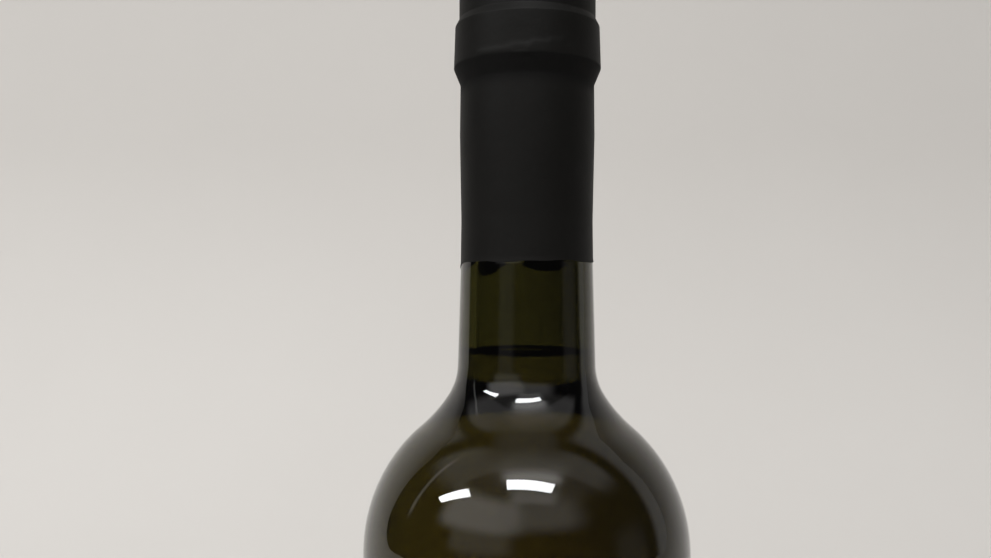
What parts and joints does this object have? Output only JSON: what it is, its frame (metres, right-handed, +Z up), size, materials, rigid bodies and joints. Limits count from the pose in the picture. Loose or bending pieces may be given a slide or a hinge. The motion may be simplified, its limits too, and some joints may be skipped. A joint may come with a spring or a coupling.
{
  "type": "bottle of white wine",
  "caption": "Full, unopened wine bottle with round shoulders, dark green glass, pale wine up to the neck and a black shrink capsule; stands on its base.",
  "frame": {"origin": "middle of the base, on the surface that the bottle stands on", "axes": "+Z up along the bottle's axis, towards the mouth; X and Y are alike, as every piece is turned round Z"},
  "size_m": [0.072, 0.072, 0.3281],
  "materials": {
    "green_glass": "smooth blown glass, dark olive green, clear",
    "white_wine": "still white wine, pale straw yellow, clear",
    "black_capsule": "matte black heat-shrunk film"
  },
  "bodies": {
    "root": {"glass_bottle": "green_glass", "wine": "white_wine", "capsule": "black_capsule"}
  },
  "joints": []
}
